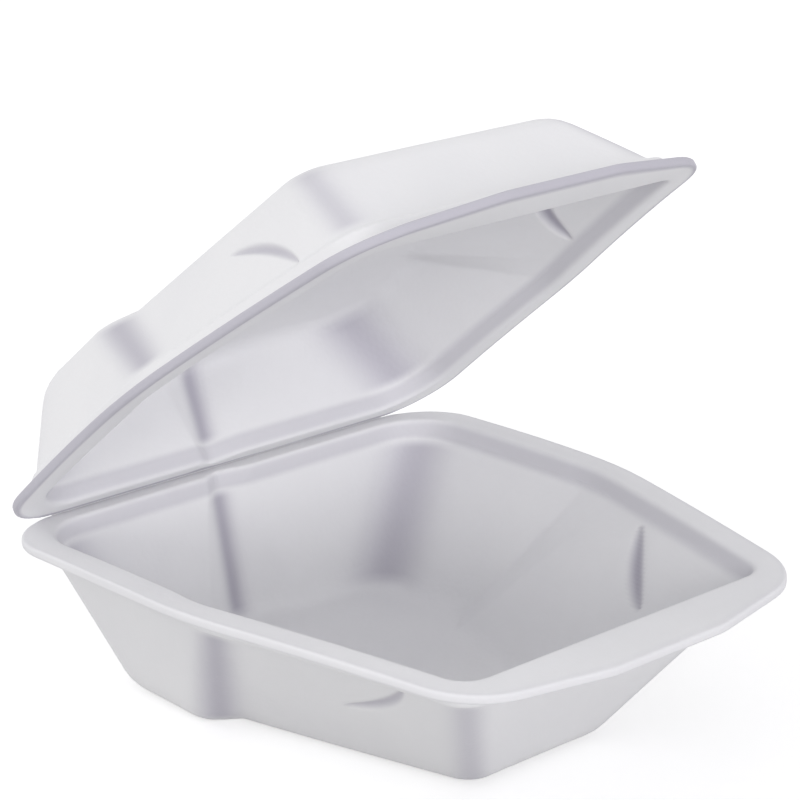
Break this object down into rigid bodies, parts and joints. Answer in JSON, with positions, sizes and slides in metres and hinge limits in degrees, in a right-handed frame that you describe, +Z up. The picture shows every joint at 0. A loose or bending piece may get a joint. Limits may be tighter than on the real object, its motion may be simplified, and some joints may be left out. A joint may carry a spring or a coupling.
{
  "type": "foam clamshell container",
  "caption": "Hinged food container moulded from one sheet of white foam, with stepped seat, sloping walls and a lid on a pressed crease, held partly open.",
  "frame": {"origin": "middle of the flat foot that the base stands on", "axes": "+Z up, -Y towards the open front, X along the crease"},
  "size_m": [0.135, 0.161, 0.1343],
  "materials": {
    "foam": "matt white foam with a soft sheen"
  },
  "bodies": {
    "base": {"base": "foam"},
    "lid": {"lid": "foam"}
  },
  "joints": [
    {"name": "lid_hinge", "type": "hinge", "parent": "base", "child": "lid", "pos_m": [0, 0.05869, 0.0407], "axis": [-1, 0, 0], "range_deg": [-38.5, 136.5]}
  ]
}
